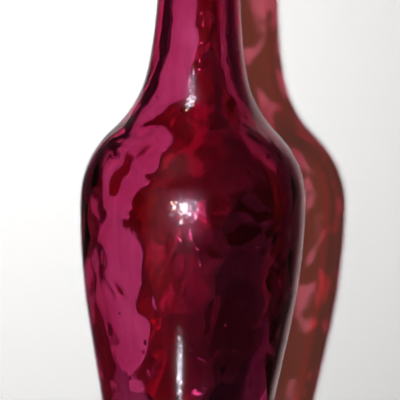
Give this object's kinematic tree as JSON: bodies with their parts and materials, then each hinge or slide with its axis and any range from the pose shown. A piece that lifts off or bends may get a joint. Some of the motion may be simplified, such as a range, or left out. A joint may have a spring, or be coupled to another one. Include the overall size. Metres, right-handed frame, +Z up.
{
  "type": "antique glass bottle",
  "caption": "Thick hand-blown ruby glass bottle with a baluster body, long tapering neck, applied ring lip and a hollow blown glass stopper held in a cork sleeve.",
  "frame": {"origin": "centre of the ring that the bottle stands on", "axes": "+Z up along the axis of revolution; X and Y are alike"},
  "size_m": [0.09, 0.09, 0.3017],
  "materials": {
    "ruby_glass": "fire-polished hand-blown glass with a rippled optic inside",
    "cork": "natural cork, cut and sanded"
  },
  "bodies": {
    "bottle": {"bottle_shell": "ruby_glass", "applied_lip": "ruby_glass"},
    "cork": {"cork_sleeve": "cork"},
    "stopper": {"glass_stopper": "ruby_glass"}
  },
  "joints": [
    {"name": "cork_lift", "type": "slide", "parent": "bottle", "child": "cork", "axis": [0, 0, 1], "range_m": [0, 0.05]},
    {"name": "stopper_twist", "type": "hinge", "parent": "cork", "child": "stopper", "pos_m": [0, 0, 0.24697], "axis": [0, 0, 1], "continuous": true}
  ]
}
